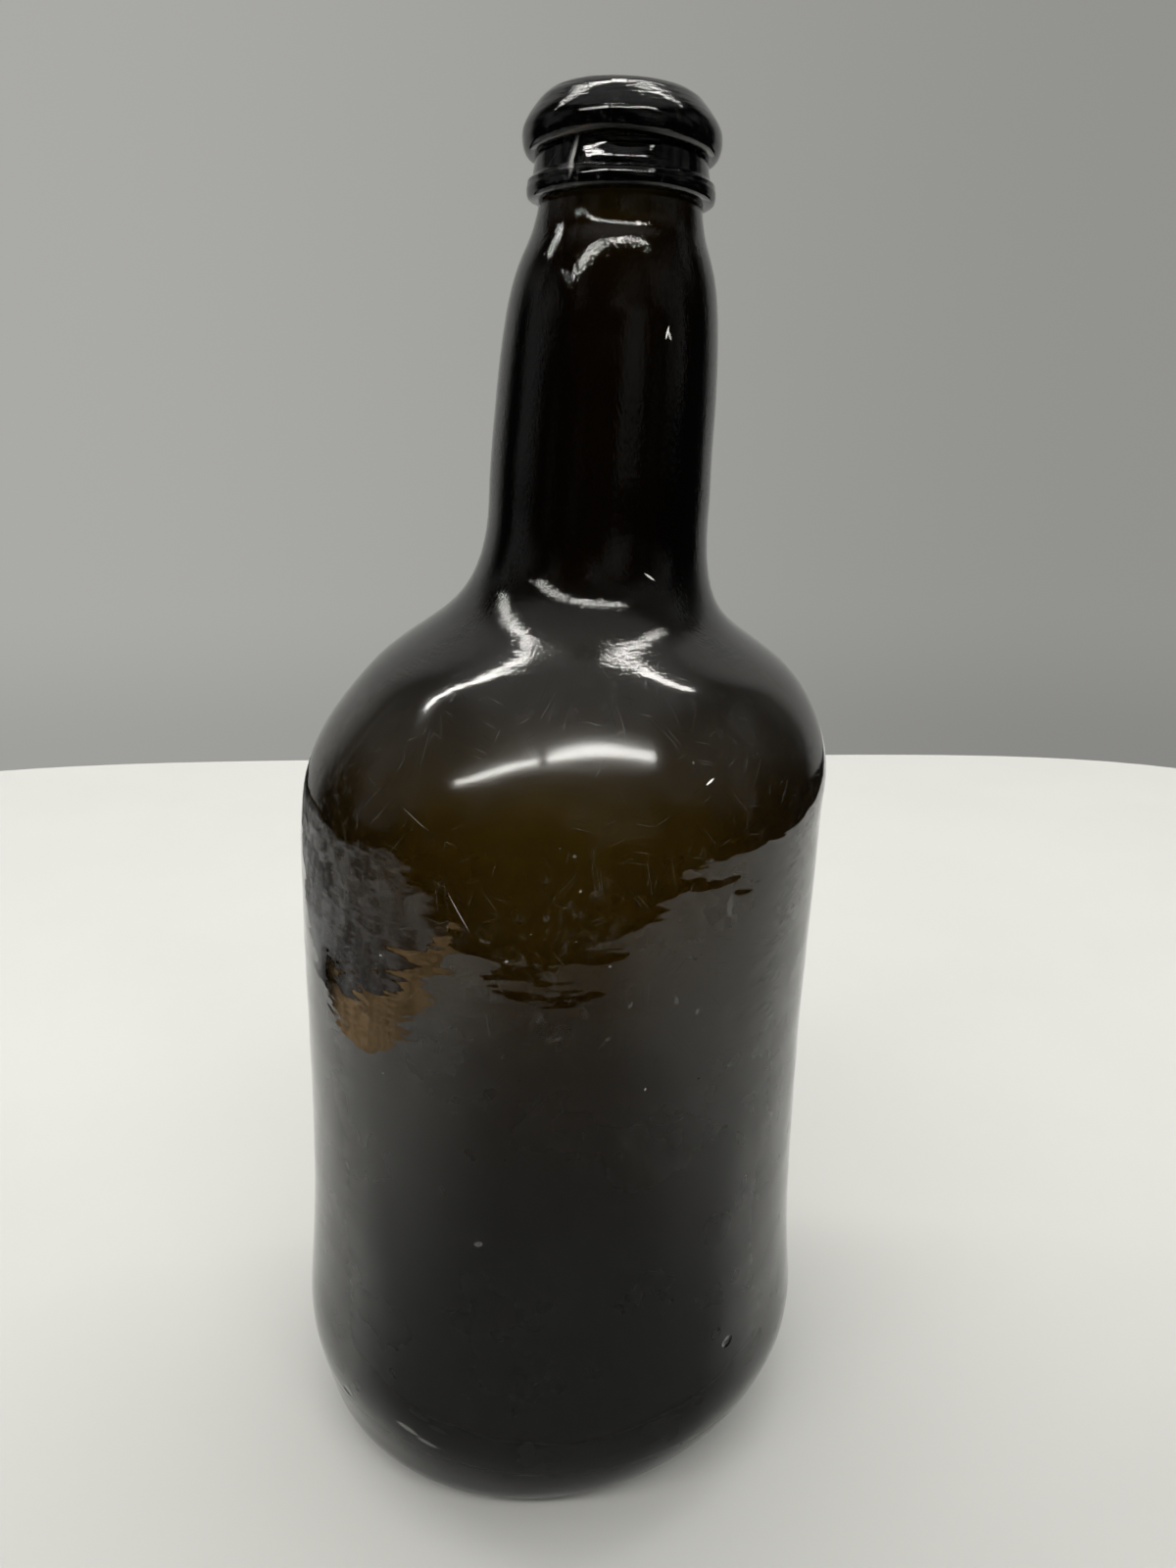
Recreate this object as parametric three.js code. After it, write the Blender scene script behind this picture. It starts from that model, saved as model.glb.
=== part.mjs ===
// Free-blown black glass bottle with an applied string rim and a tooled lip.
// Millimetres, +Z up. The origin is on the surface the bottle stands on, under the middle of its outline.
// The body is straight-sided with a rounded heel, a pushed-up base and a round shoulder. The neck is a little
// crooked: its axis drifts towards +X as it rises, and the finish tips slightly the same way.

import * as THREE from 'three';

// ---- driving dimensions (mm) -------------------------------------------------------------------------------
const SEGMENTS = 40;             // facets round the bottle
const REST_R_IN = 33.8;          // flat resting ring, inner radius
const REST_R_OUT = 38.6;         // flat resting ring, outer radius
const PUSH_UP = 31.0;            // height of the push-up in the base
const BASE_THICK = 5.6;          // glass over the push-up
const MOUTH_R = 9.3;             // bore radius at the mouth
const FINISH_TIP = 2.0;          // degrees that the finish tips towards +X
const CENTRE = -0.265;           // brings the middle of the crooked outline over the origin
const HEEL_SHIFT = -3.8;         // offset of the resting ring, which lies off the middle of the body

// Outside of the bottle, from the edge of the resting ring to the top of the neck tube: [radius, height]
const OUTSIDE = [
  [REST_R_OUT, 0.0], [42.0, 1.6], [44.8, 4.3], [47.6, 8.3], [49.9, 12.8], [51.6, 17.6], [52.55, 23.2],
  [52.1, 30.0], [51.2, 40.0], [50.5, 54.0], [50.0, 76.0], [50.05, 100.0], [50.05, 124.0], [49.75, 134.0],
  [49.0, 141.6], [47.1, 148.0], [43.9, 153.4], [39.4, 158.3], [33.6, 163.2], [28.2, 167.2], [24.2, 171.2],
  [21.5, 176.8], [20.2, 184.0], [19.8, 194.0], [19.5, 204.5], [18.9, 213.0], [18.0, 220.8], [16.6, 227.2],
  [14.9, 232.2], [14.1, 235.2], [13.95, 243.0], [13.3, 249.0],
];

// Thickness of the glass, measured square to the outside: [height, thickness]
const WALL = [
  [0, 7.2], [16, 7.0], [30, 6.4], [48, 5.5], [70, 4.6], [100, 3.9], [128, 3.7], [146, 4.1], [158, 4.8], [170, 6.0],
  [184, 6.8], [206, 6.8], [220, 6.1], [228, 5.4], [236, 4.7], [250, 4.6],
];

// Drift of the axis towards +X: [height, offset]
const DRIFT = [
  [0, -0.2], [23, -0.15], [48, 0.25], [79, 1.1], [110, 1.95], [124, 2.7], [134, 3.3], [143, 4.3], [150, 5.3],
  [157, 5.9], [163, 6.4], [170, 7.2], [177, 8.7], [187, 9.9], [200, 11.0], [213, 11.9], [225, 12.8],
  [236, 13.6], [253, 13.9],
];

// Push-up in the base, from its top on the axis out to the resting ring: [radius, height]
const PUSH = [
  [0, PUSH_UP], [6, 30.4], [11.5, 28.2], [17, 24.1], [22, 18.6], [26.4, 12.2], [30.4, 5.6], [REST_R_IN, 0.0],
];

// String rim, closed section, from its lower inner corner round the outside: [radius, height]
const RIM = [
  [14.3, 235.3], [14.85, 235.1], [15.5, 235.9], [15.8, 237.3], [15.72, 238.7], [15.45, 239.5], [14.95, 240.3],
  [14.7, 241.3], [14.75, 242.2], [14.6, 242.5], [14.2, 242.5],
];

// Lip, closed section, from its lower inner corner round the outside and over the crest to the mouth
const LIP = [
  [14.2, 242.9], [14.9, 243.0], [15.7, 243.7], [16.35, 244.7], [16.58, 245.9], [16.3, 247.4], [15.75, 249.0],
  [15.0, 250.6], [14.0, 251.9], [12.9, 252.8], [11.8, 253.0], [10.6, 252.6], [9.7, 251.6], [9.35, 250.2],
  [9.5, 249.75], [13.3, 249.75], [13.7, 249.0], [14.15, 247.0],
];

// ---- helpers -----------------------------------------------------------------------------------------------
function lookup(table, x) {
  if (x <= table[0][0]) return table[0][1];
  for (let i = 1; i < table.length; i++) {
    if (x <= table[i][0]) {
      const [x0, y0] = table[i - 1], [x1, y1] = table[i];
      return y0 + (y1 - y0) * (x - x0) / (x1 - x0);
    }
  }
  return table[table.length - 1][1];
}

// drift smoothed over a few millimetres, so that the crooked neck has no kinks
function drift(z) {
  let sum = 0;
  for (let k = -4; k <= 4; k++) sum += lookup(DRIFT, z + 2 * k);
  return sum / 9 + CENTRE;
}

// the body leans a little on its base, so the heel runs in further on the right: the rings there shift to the left
function heel(z) {
  const t = Math.min(1, Math.max(0, (z - 3) / 14));
  return HEEL_SHIFT * (1 - t * t * (3 - 2 * t));
}

// the finish tips over a short height under the string rim
function tip(z) {
  const t = Math.min(1, Math.max(0, (z - 222) / 14));
  return Math.tan(THREE.MathUtils.degToRad(FINISH_TIP)) * t * t * (3 - 2 * t);
}

// a turned solid about +Z, then carried along the crooked axis
function turned(profile, segments = SEGMENTS) {
  const points = profile.map(([r, z]) => new THREE.Vector2(r, z));
  const geometry = new THREE.LatheGeometry(points, segments);
  geometry.rotateX(Math.PI / 2);
  const position = geometry.attributes.position;
  for (let i = 0; i < position.count; i++) {
    const x = position.getX(i), y = position.getY(i), z = position.getZ(i);
    // the rings of the body stay level, so the resting ring is flat
    position.setXYZ(i, x + drift(z) + heel(z), y, z - tip(z) * x);
  }
  geometry.computeVertexNormals();
  return geometry;
}

// inside of the vessel: the outside moved in by the thickness of the wall, mouth first
function inside() {
  const out = [];
  for (let i = OUTSIDE.length - 1; i >= 0; i--) {
    const [r, z] = OUTSIDE[i];
    const a = OUTSIDE[Math.max(0, i - 1)], b = OUTSIDE[Math.min(OUTSIDE.length - 1, i + 1)];
    const dr = b[0] - a[0], dz = b[1] - a[1], len = Math.hypot(dr, dz);
    const t = lookup(WALL, z);
    out.push([r - t * dz / len, z + t * dr / len]);
  }
  return out;
}

// ---- the vessel --------------------------------------------------------------------------------------------
const inner = inside().filter(([r, z]) => z < 247 && z > 17 && r > MOUTH_R - 0.1);
const bodyProfile = [
  ...PUSH,
  ...OUTSIDE,
  [12.6, 249.4], [10.4, 249.4], [9.4, 248.8],
  [MOUTH_R, 246.5],
  ...inner,
  [44.2, 13.0], [41.2, 9.2], [37.2, 8.0], [33.4, 10.6], [28.0, 18.8], [22.4, 26.6], [15.0, 33.0],
  [0, PUSH_UP + BASE_THICK],
];

// ---- the ring of glass left by the iron in the push-up -----------------------------------------------------
const PONTIL = [
  [12.2, 27.2], [13.0, 25.4], [15.0, 23.7], [17.0, 22.6], [17.9, 22.6], [16.2, 24.35], [14.1, 26.15],
];

// ---- materials and assembly --------------------------------------------------------------------------------
const glass = new THREE.MeshStandardMaterial({ color: 0x14140d, roughness: 0.08, metalness: 0.0 });
const trail = new THREE.MeshStandardMaterial({ color: 0x101010, roughness: 0.12, metalness: 0.0 });
const scar = new THREE.MeshStandardMaterial({ color: 0x1c1b12, roughness: 0.3, metalness: 0.0 });

function piece(name, geometry, material) {
  const mesh = new THREE.Mesh(geometry, material);
  mesh.name = name;
  return mesh;
}

const closed = (section) => [...section, section[0]];

const bottle = new THREE.Group();
bottle.name = 'black_glass_bottle';
bottle.add(piece('bottle_body', turned(bodyProfile), glass));
bottle.add(piece('string_rim', turned(closed(RIM)), trail));
bottle.add(piece('lip_collar', turned(closed(LIP)), trail));
bottle.add(piece('pontil_scar', turned(closed(PONTIL), 32), scar));

export default bottle;
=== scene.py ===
import math

import bmesh
import bpy
import numpy as np
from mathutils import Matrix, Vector, noise


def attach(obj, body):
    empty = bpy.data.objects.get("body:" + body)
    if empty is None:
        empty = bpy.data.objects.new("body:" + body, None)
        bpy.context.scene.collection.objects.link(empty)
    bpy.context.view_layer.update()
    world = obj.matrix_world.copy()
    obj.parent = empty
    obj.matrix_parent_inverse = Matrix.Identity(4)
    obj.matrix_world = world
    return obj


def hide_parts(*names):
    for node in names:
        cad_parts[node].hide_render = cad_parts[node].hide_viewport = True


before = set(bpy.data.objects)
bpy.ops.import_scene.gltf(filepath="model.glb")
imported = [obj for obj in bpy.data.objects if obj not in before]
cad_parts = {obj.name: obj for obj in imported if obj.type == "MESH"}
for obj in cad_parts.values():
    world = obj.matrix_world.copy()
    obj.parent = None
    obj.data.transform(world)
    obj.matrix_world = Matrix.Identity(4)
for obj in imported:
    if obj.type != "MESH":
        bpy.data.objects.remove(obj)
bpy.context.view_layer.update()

scene = bpy.context.scene

# ================================================================================================================
# Camera: a little under lip height and close in front of the bottle, looking down at it through a wide lens
# ================================================================================================================
cam_data = bpy.data.cameras.new("camera")
cam_data.lens = 25.99
cam_data.sensor_width = 36.0
cam_data.sensor_fit = "AUTO"
cam_data.clip_start = 0.01
cam_data.clip_end = 50.0
cam = bpy.data.objects.new("camera", cam_data)
cam.location = (-0.000265, -0.21105, 0.2016)
cam.rotation_euler = (math.radians(72.4), 0.0, math.radians(-2.2))
scene.collection.objects.link(cam)
scene.camera = cam

# ================================================================================================================
# The shape of the bottle (mm): the outline, the wall, and the drift of the axis
# ================================================================================================================
OUTSIDE = [
    (37.9, 0.0), (41.9, 1.9), (45.0, 5.0), (47.85, 9.0), (49.8, 13.0), (51.6, 18.0), (52.45, 23.2), (52.1, 30.0),
    (51.2, 40.0), (50.45, 54.0), (50.0, 76.0), (50.05, 100.0), (50.0, 124.0), (49.77, 134.0), (49.4, 139.0),
    (48.08, 144.0), (46.37, 148.0), (44.08, 152.0), (41.27, 156.0), (37.83, 160.0), (34.13, 163.0), (29.83, 166.0),
    (25.84, 169.0), (23.27, 172.0), (21.74, 175.0), (20.64, 179.0), (20.03, 184.0), (19.93, 190.0), (19.64, 198.0),
    (19.35, 206.0), (18.95, 213.0), (18.3, 219.5), (17.45, 224.3), (16.25, 228.2), (14.85, 231.6), (14.05, 234.9),
]
WALL = [
    (0, 7.2), (16, 7.0), (30, 6.4), (48, 5.6), (70, 5.0), (96, 4.9), (114, 4.0), (128, 3.5), (146, 3.6), (158, 4.6),
    (170, 6.0), (184, 6.8), (206, 6.8), (220, 6.1), (228, 5.4), (236, 4.7), (250, 4.6),
]
DRIFT = [
    (0, -4.35), (2, -4.2), (5, -3.9), (9, -2.45), (13, -1.1), (18, -0.25), (23, -0.08), (30, -0.15), (40, 0.1),
    (54, 0.51), (76, 1.06), (100, 1.63), (124, 2.6), (134, 3.13), (142, 4.34), (150, 5.79), (157, 6.86), (163, 7.59),
    (169, 8.34), (175, 9.23), (182, 9.84), (190, 10.25), (198, 10.72), (206, 11.39), (213, 11.91), (219, 12.34),
    (225, 12.8), (236, 13.6), (253, 13.9),
]
# the rings round the neck's root tilt, as the neck leans; there the section is a little oval too: (z, tilt in degrees,
# back shift, oval along the view, oval across it)
LEAN = [
    (0, 0.0, 0.0, 0.0, 0.0), (134, 0.0, 0.0, 0.0, 0.0), (145, 0.87, 0.03, -0.28, -0.10), (155, 0.77, 0.05, -0.46, -0.22),
    (165, 2.43, 0.0, 0.31, -0.54), (175, 4.54, 0.13, 0.0, -0.45), (190, 4.94, 0.41, 0.0, 0.0), (206, 4.4, 0.4, 0.0, 0.0),
    (222, 3.0, 0.2, 0.0, 0.0), (236, 2.0, 0.0, 0.0, 0.0), (260, 2.0, 0.0, 0.0, 0.0),
]
CENTRE = -0.265
FINISH_TIP = 2.0


def table(rows):
    a = np.array(rows, float)
    return a[:, 0], a[:, 1]


WX, WY = table(WALL)
DX, DY = table(DRIFT)


DRIFT_Z = np.arange(-8.0, 268.0, 0.25)
DRIFT_X = np.interp(DRIFT_Z, DX, DY)
for _ in range(3):
    DRIFT_X = np.convolve(np.pad(DRIFT_X, 8, "edge"), np.ones(17) / 17, "valid")


def drift(z):
    return np.interp(np.asarray(z, float), DRIFT_Z, DRIFT_X) + CENTRE


LEAN_T = []
for col in range(1, 5):
    v = np.interp(DRIFT_Z, [q[0] for q in LEAN], [q[col] for q in LEAN])
    for _ in range(3):
        v = np.convolve(np.pad(v, 10, "edge"), np.ones(21) / 21, "valid")
    LEAN_T.append(v)


def lean(z):
    """Tilt (as a tangent), shift to the back and the two ovals of the ring at height z."""
    z = np.asarray(z, float)
    t, back, oval_a, oval_b = (np.interp(z, DRIFT_Z, v) for v in LEAN_T)
    return np.tan(np.radians(t)), back, oval_a, oval_b


def smooth(t):
    t = np.clip(t, 0.0, 1.0)
    return t * t * (3 - 2 * t)


def tip(z):
    return math.tan(math.radians(FINISH_TIP)) * smooth((np.asarray(z, float) - 222) / 14)


def spline(points, step):
    """A natural cubic spline through the points, by chord length, sampled about every step mm."""
    p = np.array(points, float)
    s = np.concatenate([[0], np.cumsum(np.hypot(*np.diff(p, axis=0).T))])
    n = len(p)
    h = np.diff(s)
    m = np.zeros((n, 2))
    a = np.zeros((n, n))
    b = np.zeros((n, 2))
    a[0, 0] = a[-1, -1] = 1
    for i in range(1, n - 1):
        a[i, i - 1], a[i, i], a[i, i + 1] = h[i - 1], 2 * (h[i - 1] + h[i]), h[i]
        b[i] = 6 * ((p[i + 1] - p[i]) / h[i] - (p[i] - p[i - 1]) / h[i - 1])
    m = np.linalg.solve(a, b)
    t = np.linspace(0, s[-1], int(s[-1] / step) + 2)
    i = np.clip(np.searchsorted(s, t) - 1, 0, n - 2)
    u, v = (s[i + 1] - t)[:, None], (t - s[i])[:, None]
    hi = h[i][:, None]
    return (m[i] * u**3 + m[i + 1] * v**3) / (6 * hi) + (p[i] / hi - m[i] * hi / 6) * u + (p[i + 1] / hi - m[i + 1] * hi / 6) * v


def soften(p, sigma, step):
    """Gaussian smoothing along a curve, with its ends kept."""
    k = int(4 * sigma / step)
    w = np.exp(-0.5 * (np.arange(-k, k + 1) * step / sigma) ** 2)
    w /= w.sum()
    lead = 2 * p[0] - p[k:0:-1]
    tail = 2 * p[-1] - p[-2 : -k - 2 : -1]
    q = np.concatenate([lead, p, tail])
    return np.stack([np.convolve(q[:, i], w, "valid") for i in (0, 1)], 1)


def spread(p, gap):
    """Points along curve p, with the spacing that gap(z) asks for."""
    d = np.hypot(*np.diff(p, axis=0).T)
    want = gap((p[1:, 1] + p[:-1, 1]) / 2)
    c = np.concatenate([[0], np.cumsum(d / want)])
    t = np.linspace(0, c[-1], int(round(c[-1])) + 1)
    return np.stack([np.interp(t, c, p[:, i]) for i in (0, 1)], 1)


def octave(x, y, z, wave, seed):
    """Perlin noise of about that wavelength (mm) at points given in mm; wave may be one number or three."""
    w = np.broadcast_to(np.asarray(wave, float), (3,))
    out = np.empty(x.shape)
    fx, fy, fz = (x / w[0]).ravel(), (y / w[1]).ravel(), (z / w[2]).ravel()
    o = out.ravel()
    for i in range(len(fx)):
        o[i] = noise.noise((fx[i] + seed * 17.13, fy[i] - seed * 5.71, fz[i] + seed * 9.37))
    return o.reshape(x.shape)


SEGS = 240
THETA = np.arange(SEGS) * 2 * math.pi / SEGS  # 0 is the near side (-Y), growing towards +X


def ring_mesh(name, prof, move, closed=False, segs=SEGS):
    """Turns a profile [(r, z)] about the axis. move(r, z, th) -> x, y, z in mm places each point. A profile that starts or ends on
    the axis gets a pole there; closed joins its end to its start."""
    prof = np.asarray(prof, float)
    th = np.arange(segs) * 2 * math.pi / segs
    start_pole, end_pole = prof[0, 0] < 1e-6, prof[-1, 0] < 1e-6
    rings = prof[(1 if start_pole else 0) : (-1 if end_pole else None)]
    r = np.repeat(rings[:, :1], segs, 1)
    z = np.repeat(rings[:, 1:], segs, 1)
    t = np.repeat(th[None, :], len(rings), 0)
    x, y, zz = move(r, z, t)
    verts = np.stack([x, y, zz], -1).reshape(-1, 3) / 1000
    n = len(rings)
    faces = []
    for i in range(n if closed else n - 1):
        k = (i + 1) % n
        for j in range(segs):
            m = (j + 1) % segs
            faces.append((i * segs + j, i * segs + m, k * segs + m, k * segs + j))
    verts = list(map(tuple, verts))
    if start_pole:
        px, py, pz = move(np.zeros((1, 1)), np.full((1, 1), prof[0, 1]), np.zeros((1, 1)))
        verts.append((px[0, 0] / 1000, py[0, 0] / 1000, pz[0, 0] / 1000))
        c = len(verts) - 1
        faces += [(c, (j + 1) % segs, j) for j in range(segs)]
    if end_pole:
        px, py, pz = move(np.zeros((1, 1)), np.full((1, 1), prof[-1, 1]), np.zeros((1, 1)))
        verts.append((px[0, 0] / 1000, py[0, 0] / 1000, pz[0, 0] / 1000))
        c = len(verts) - 1
        o = (n - 1) * segs
        faces += [(c, o + j, o + (j + 1) % segs) for j in range(segs)]
    me = bpy.data.meshes.new(name)
    me.from_pydata(verts, [], faces)
    me.validate()
    bm = bmesh.new()
    bm.from_mesh(me)
    bmesh.ops.recalc_face_normals(bm, faces=bm.faces)
    bm.to_mesh(me)
    bm.free()
    me.shade_smooth()
    ob = bpy.data.objects.new(name, me)
    scene.collection.objects.link(ob)
    return ob


# ---- the vessel ------------------------------------------------------------------------------------------------
STEP = 0.25
outer = soften(spline(OUTSIDE, STEP), 1.2, STEP)
# the slope of the neck's front as it draws in under the rim: (z, degrees)
DRAW_IN = [
    (213, 4.5), (217, 8.3), (222, 13.0), (226, 16.5), (228.4, 18.5), (229.4, 20.5), (230.2, 24.0), (230.9, 27.5), (231.4, 26.0), (231.8, 21.5),
    (232.35, 18.6), (232.9, 14.0), (234.5, 7.0), (236, 3.0), (238, 1.0),
]
DRAW_Z = np.arange(213.0, 238.01, 0.1)
DRAW_R = np.cumsum(np.tan(np.radians(np.interp(DRAW_Z, *np.array(DRAW_IN).T)))[::-1] * 0.1)[::-1]
DRAW_R += 14.0 - np.interp(236.0, DRAW_Z, DRAW_R)
outer[:, 1] = np.maximum(outer[:, 1], 0.0)
outer_rings = spread(outer, lambda z: np.where(z > 222, 0.55, np.where(z > 168, 0.85, np.where(z > 90, 0.95, 1.15))))
# the inside follows the outside at the wall's thickness
tang = np.gradient(outer, axis=0)
tang /= np.hypot(tang[:, 0], tang[:, 1])[:, None]
wall = np.interp(outer[:, 1], WX, WY)[:, None]
inner = outer + np.stack([-tang[:, 1], tang[:, 0]], 1) * wall
keep = (inner[:, 1] > 18) & (inner[:, 0] > 9.35) & (outer[:, 1] < 236)
inner = inner[keep][::-1]
inner_all = np.concatenate([
    [(9.42, 248.6), (9.35, 247.0), (9.3, 244.0), (9.3, 240.0)],
    inner[inner[:, 1] < 236],
    [(44.2, 13.0), (41.2, 9.2), (37.2, 8.0), (33.4, 10.6), (28.0, 18.8), (22.4, 26.6), (15.0, 33.0), (8.0, 35.9), (0, 36.6)],
])
inner_rings = spread(soften(inner_all, 1.2, 0.6), lambda z: np.where(z > 236, 2.0, np.where(z > 150, 3.0, 3.6)))
inner_rings[-1] = (0, 36.6)
push = spline([(0, 31.0), (6, 30.4), (11.5, 28.2), (17, 24.1), (22, 18.6), (26.4, 12.2), (30.4, 5.6), (33.2, 0.9), (33.9, 0.12), (34.8, 0.0)], 0.25)
push_rings = spread(push, lambda z: np.full_like(z, 2.2))
push_rings[0] = (0, 31.0)
top_rings = np.array([(13.85, 236.3), (13.55, 237.6), (13.45, 239.0), (13.42, 243.0), (13.3, 246.5), (12.9, 248.6), (12.3, 249.1), (11.4, 249.2), (10.2, 249.2), (9.6, 248.9)])
body_prof = np.concatenate([push_rings, [(36.2, 0.0), (37.6, 0.0)], outer_rings, top_rings, inner_rings])
n_push = len(push_rings) + 2
n_outer = len(outer_rings)
n_top = len(top_rings)


def waves(x, y, z, neck):
    """The uneven skin of blown glass, as a height in mm: long swells, whittle marks, and on the neck lines drawn out along it."""
    upper = smooth((z - 138) / 16)  # the shoulder was marvered smoother than the body
    swell = 0.20 * octave(x, y, z, 46, 1) * (1 - 0.8 * upper) + 0.20 * octave(x, y, z, (24, 24, 17), 2) * (1 - 0.8 * upper)
    marks = 0.100 * octave(x, y, z, (13, 13, 9), 3) + 0.030 * octave(x, y, z, (7.2, 7.2, 5.0), 4) + 0.010 * octave(x, y, z, (4.5, 4.5, 3.0), 7)
    draw = 0.022 * octave(x, y, z, (5.5, 5.5, 70), 5) + 0.007 * octave(x, y, z, (2.4, 2.4, 30), 6)
    return swell + marks * (1 - 0.75 * upper) + draw * neck


def wrap(a):
    return (a + math.pi) % (2 * math.pi) - math.pi


def place_body(r, z, th):
    x, y = r * np.sin(th), -r * np.cos(th)
    if r.shape[0] > 1:
        h = np.zeros(r.shape)
        k = slice(n_push - 1, n_push - 1 + n_outer)  # the pole isn't a ring
        neck = smooth((z[k] - 160) / 16)
        rim = smooth((236 - z[k]) / 6) * smooth((z[k] - 0.2) / 3)
        h[k] = waves(x[k], y[k], z[k], neck) * rim
        # a groove drawn down from under the rim, near the left of the front
        g = np.exp(-0.5 * ((th[k] - math.radians(360 - 29)) * r[k] / 0.42) ** 2) * smooth((z[k] - 223) / 4) * smooth((237 - z[k]) / 2)
        h[k] -= 0.10 * g
        # the front of the neck draws in by its own slope
        own = (np.interp(z[k], DRAW_Z, DRAW_R) - r[k]) * smooth((z[k] - 215) / 6) * smooth((236.5 - z[k]) / 1.5)
        h[k] += own * np.exp(-((wrap(th[k] - 0.12) / 0.75) ** 2))
        i = slice(n_push - 1 + n_outer + n_top, None)
        zi = z[i]
        thick = 0.34 * octave(x[i], y[i], zi, (26, 26, 60), 11) + 0.14 * octave(x[i], y[i], zi, (9, 9, 34), 12)
        h[i] = thick * smooth((236 - zi) / 10) * smooth((zi - 12) / 10)
        # outwards along the radius is close enough to the normal for heights this small; on the shoulder they turn upwards
        up = smooth((z - 142) / 12) * smooth((176 - z) / 8)
        c = np.cos(up * 0.9)
        rr = r + h * c
        zz = z + h * np.sin(up * 0.9)
    else:
        rr, zz = r, z
    tilt, back, oval_a, oval_b = lean(z)
    rr = rr + (oval_a * np.cos(2 * th) + oval_b * np.sin(2 * th)) * smooth(r / 8)
    x, y = rr * np.sin(th), -rr * np.cos(th)
    return x + drift(z), y + back, zz - tilt * x


bottle = ring_mesh("black_glass_vessel", body_prof, place_body)
# the inner skin is marked, because a dull deposit lies on it
first_inner = (n_push - 1 + n_outer + n_top) * SEGS
mark = np.zeros(len(bottle.data.vertices), np.float32)
mark[first_inner:] = 1.0
mark[(len(body_prof) - 2) * SEGS] = 0.0  # the pole under the push-up
bottle.data.attributes.new("inner_skin", "FLOAT", "POINT").data.foreach_set("value", mark)


# ---- the string rim: a trail of glass with a crisp upper edge and a hollow above it -----------------------------------
def front(th):
    return (0.5 + 0.5 * np.cos(th)) ** 1.5


LAP = math.radians(-34.5)
RIM = [
    (13.2, 237.4), (13.8, 236.95), (14.4, 236.9), (15.0, 237.0), (15.5, 237.2), (15.78, 237.6), (15.90, 238.1),
    (15.94, 238.6), (15.885, 238.95), (15.80, 239.20), (15.713, 239.45), (15.626, 239.70), (15.46, 239.92), (15.14, 240.10), (14.94, 240.4),
    (14.84, 240.8), (14.72, 241.4), (14.58, 242.2), (14.44, 243.0), (14.50, 243.6), (14.9, 244.1), (14.8, 244.6), (14.0, 244.7), (13.2, 243.8),
]


def place_rim(r, z, th):
    x, y = r * np.sin(th), -r * np.cos(th)
    h = np.zeros(r.shape)
    if r.shape[0] > 1:
        out = smooth((r - 13.9) / 0.5)
        h = 0.10 * octave(x, y, z, (9, 9, 5), 21) + 0.03 * octave(x, y, z, (3.2, 3.2, 1.6), 22)
        d = wrap(th - LAP)
        # the end of the trail lies over its start
        ridge = np.exp(-0.5 * ((d * r - 0.35 * (z - 241)) / 0.42) ** 2)
        step = smooth(0.5 + d * r / 1.2) * np.exp(-np.maximum(d, 0) * r / 7.0)
        h = (h + 0.42 * ridge * smooth((z - 239.6) / 0.8) * smooth((244.5 - z) / 1.0) + 0.20 * step * smooth((240.5 - z) / 1.2)) * out
    lift = 1.25 * front(th) * smooth((z - 239.9) / 4.0) + 0.22 * np.sin(th * 2 + 0.6) * smooth((z - 234) / 3) * smooth((241 - z) / 3)
    # a shallow oval facet in the hollow at the front
    side = wrap(th - math.radians(-1.0))
    facet = np.exp(-((side * 14.8 / 5.3) ** 2)) * (r > 14.2) * smooth((z - 240) / 0.9) * smooth((243.6 - z) / 0.8)
    rr = r + h * (1 - 0.7 * facet) - 0.58 * np.tanh((z + lift - 242.5) / 1.7) * facet
    # the bevel on the edge stands steeper towards the sides
    bevel = np.radians(np.clip(19.2 - 0.010 * np.degrees(wrap(th + 0.06)) ** 2, 6.0, None))
    rr += (math.tan(math.radians(19.2)) - np.tan(bevel)) * np.clip(z - 239.1, 0, 0.65) * smooth((r - 14.9) / 0.5)
    x, y = rr * np.sin(th), -rr * np.cos(th)
    return x + drift(z), y, z + lift - tip(z) * x


rim_curve = spline(RIM + [RIM[0]], 0.1)[:-1]
rim_prof = spread(np.concatenate([rim_curve, rim_curve[:1]]), lambda z: np.where((z > 238.6) & (z < 240.5), 0.11, 0.27))[:-1]
rim = ring_mesh("string_rim_trail", rim_prof, place_rim, closed=True, segs=320)

# ---- the lip: a second band, tooled down over the neck's end -------------------------------------------------------
LIP = [
    (13.1, 243.3), (13.9, 243.15), (14.8, 243.1), (15.55, 243.25), (16.05, 243.65), (16.38, 244.3), (16.56, 245.1), (16.62, 246.2),
    (16.54, 247.3), (16.26, 248.2), (15.82, 249.05), (15.26, 249.88), (14.62, 250.70), (13.95, 251.48), (13.2, 252.22), (12.4, 252.80),
    (11.5, 253.16), (10.7, 253.05), (10.05, 252.50), (9.62, 251.6), (9.4, 250.7), (9.36, 249.8), (9.5, 249.0), (10.2, 248.4),
    (11.6, 248.0), (12.6, 247.0), (13.0, 245.4),
]


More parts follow.
